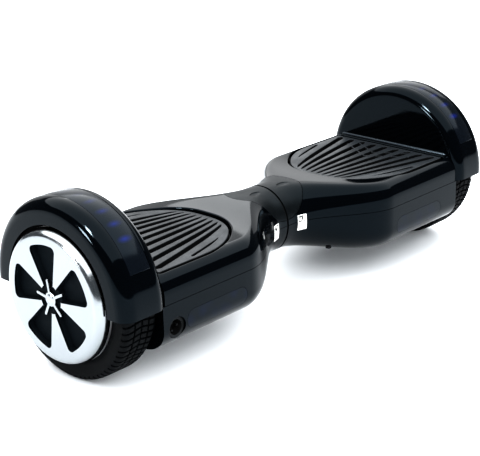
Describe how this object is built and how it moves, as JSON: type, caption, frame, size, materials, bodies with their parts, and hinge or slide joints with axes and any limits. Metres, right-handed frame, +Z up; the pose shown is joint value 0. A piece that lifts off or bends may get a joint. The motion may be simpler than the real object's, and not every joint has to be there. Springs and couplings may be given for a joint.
{
  "type": "self balancing hoverboard",
  "caption": "Two-wheeled self-balancing board: twin swivelling shells with ribbed footpads, arched fenders, light strips and hub-motor wheels.",
  "frame": {"origin": "on the floor, under the middle of the board", "axes": "+X along the wheel axles towards the right-hand wheel, +Z up, -Y to the front"},
  "size_m": [0.584, 0.186, 0.178],
  "materials": {
    "gloss_black": "moulded high gloss black",
    "satin_cap": "satin dark grey moulding",
    "smoked_strip": "smoked gloss window strip",
    "smoked_lens": "smoked gloss lens",
    "circuit_board": "green solder mask",
    "pad_rubber": "matt black rubber with satin rib tops",
    "cast_alloy": "as cast",
    "zinc_steel": "zinc plated",
    "bare_steel": "ground steel",
    "wound_core": "copper wound laminated core",
    "magnet_steel": "nickel plated",
    "black_cover": "satin black paint",
    "polished_alloy": "polished",
    "tyre_rubber": "solid rubber tyre",
    "label_paper": "white paper seal",
    "bronze": "sintered bronze",
    "seal_rubber": "black rubber",
    "cable_rubber": "black sheath",
    "battery_wrap": "blue heat-shrink wrap",
    "button_metal": "satin anodised",
    "socket_black": "black moulding"
  },
  "bodies": {
    "left_half": {"left_upper_shell": "gloss_black", "left_lower_shell": "gloss_black", "left_fender": "gloss_black", "left_neck_cap": "satin_cap", "left_light_strip": "smoked_strip", "left_strip_board": "circuit_board", "left_headlight_lens": "smoked_lens", "left_headlight_board": "circuit_board", "left_chassis": "cast_alloy", "left_axle_clamp": "cast_alloy", "left_frame_bolts": "zinc_steel", "left_shell_screws": "zinc_steel", "left_sensor_board": "circuit_board", "left_axle": "bare_steel", "left_stator": "wound_core", "left_seal_label": "label_paper", "main_board": "circuit_board", "charge_socket": "socket_black", "pivot_shaft": "bare_steel", "pivot_circlip": "bare_steel", "stop_pin": "bare_steel", "pivot_seal": "seal_rubber", "pivot_cable": "cable_rubber"},
    "right_half": {"right_upper_shell": "gloss_black", "right_lower_shell": "gloss_black", "right_fender": "gloss_black", "right_neck_cap": "satin_cap", "right_light_strip": "smoked_strip", "right_strip_board": "circuit_board", "right_headlight_lens": "smoked_lens", "right_headlight_board": "circuit_board", "right_chassis": "cast_alloy", "right_axle_clamp": "cast_alloy", "right_frame_bolts": "zinc_steel", "right_shell_screws": "zinc_steel", "right_sensor_board": "circuit_board", "right_axle": "bare_steel", "right_stator": "wound_core", "right_seal_label": "label_paper", "battery_pack": "battery_wrap", "pivot_bush": "bronze"},
    "left_wheel": {"left_hub_shell": "cast_alloy", "left_magnets": "magnet_steel", "left_motor_cover": "black_cover", "left_wheel_face": "polished_alloy", "left_star_cap": "polished_alloy", "left_tyre": "tyre_rubber", "left_wheel_bearings": "bare_steel"},
    "right_wheel": {"right_hub_shell": "cast_alloy", "right_magnets": "magnet_steel", "right_motor_cover": "black_cover", "right_wheel_face": "polished_alloy", "right_star_cap": "polished_alloy", "right_tyre": "tyre_rubber", "right_wheel_bearings": "bare_steel"},
    "left_pad": {"left_footpad": "pad_rubber", "left_pad_plungers": "pad_rubber"},
    "right_pad": {"right_footpad": "pad_rubber", "right_pad_plungers": "pad_rubber"},
    "power_button": {"power_button": "button_metal"}
  },
  "joints": [
    {"name": "halves_swivel", "type": "hinge", "parent": "left_half", "child": "right_half", "pos_m": [0, 0, 0.082], "axis": [1, 0, 0], "range_deg": [-10, 10]},
    {"name": "left_wheel_spin", "type": "hinge", "parent": "left_half", "child": "left_wheel", "pos_m": [-0.256, 0, 0.085], "axis": [1, 0, 0], "continuous": true},
    {"name": "right_wheel_spin", "type": "hinge", "parent": "right_half", "child": "right_wheel", "pos_m": [0.256, 0, 0.085], "axis": [1, 0, 0], "continuous": true},
    {"name": "left_pad_press", "type": "slide", "parent": "left_half", "child": "left_pad", "axis": [0, 0, -1], "range_m": [0, 0.0015], "stiffness_N_per_m": 4000, "springref_m": -0.0008},
    {"name": "right_pad_press", "type": "slide", "parent": "right_half", "child": "right_pad", "axis": [0, 0, -1], "range_m": [0, 0.0015], "stiffness_N_per_m": 4000, "springref_m": -0.0008},
    {"name": "power_button_press", "type": "slide", "parent": "right_half", "child": "power_button", "axis": [0, -1, 0], "range_m": [0, 0.0012], "stiffness_N_per_m": 1500, "springref_m": -0.0005}
  ]
}
